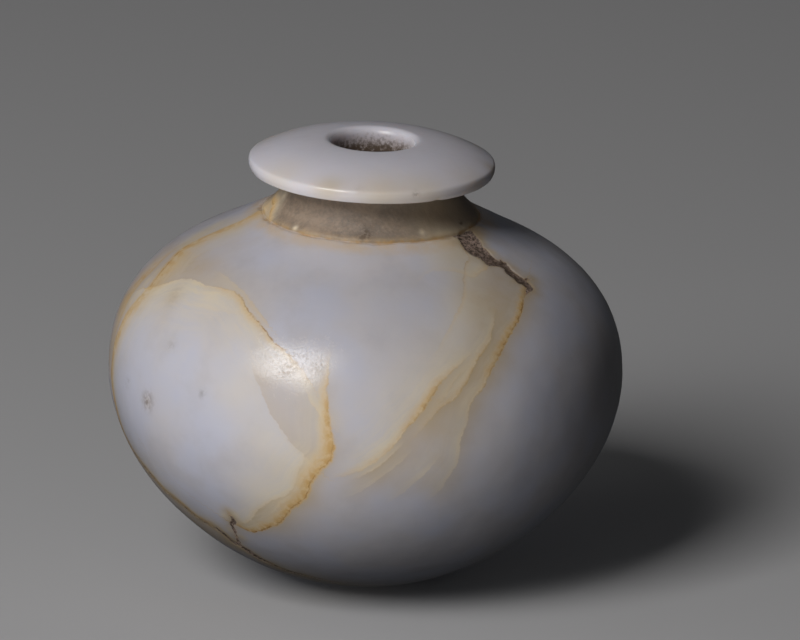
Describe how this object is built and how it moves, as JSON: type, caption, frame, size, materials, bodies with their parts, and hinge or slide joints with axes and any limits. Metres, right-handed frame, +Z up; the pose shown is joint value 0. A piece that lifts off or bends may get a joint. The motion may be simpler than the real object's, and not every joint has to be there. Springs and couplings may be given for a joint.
{
  "type": "stone cosmetic jar",
  "caption": "Squat round stone jar with a sloping shoulder, a short waisted neck, a broad domed disc rim and a narrow mouth, hollow inside.",
  "frame": {"origin": "on the table, at the middle of the jar's box seen from above, which is on the ground flat under the belly", "axes": "+Z up, +X the side the jar leans to by 2 degrees, -Y the side with the veins and the crack"},
  "size_m": [0.08, 0.08, 0.0694],
  "materials": {
    "banded_stone": "softly polished translucent bluish-white anhydrite with cream bands, golden-brown veins, a brown-filled crack at the shoulder and dirt in the neck and mouth"
  },
  "bodies": {
    "root": {"vessel": "banded_stone"}
  },
  "joints": []
}
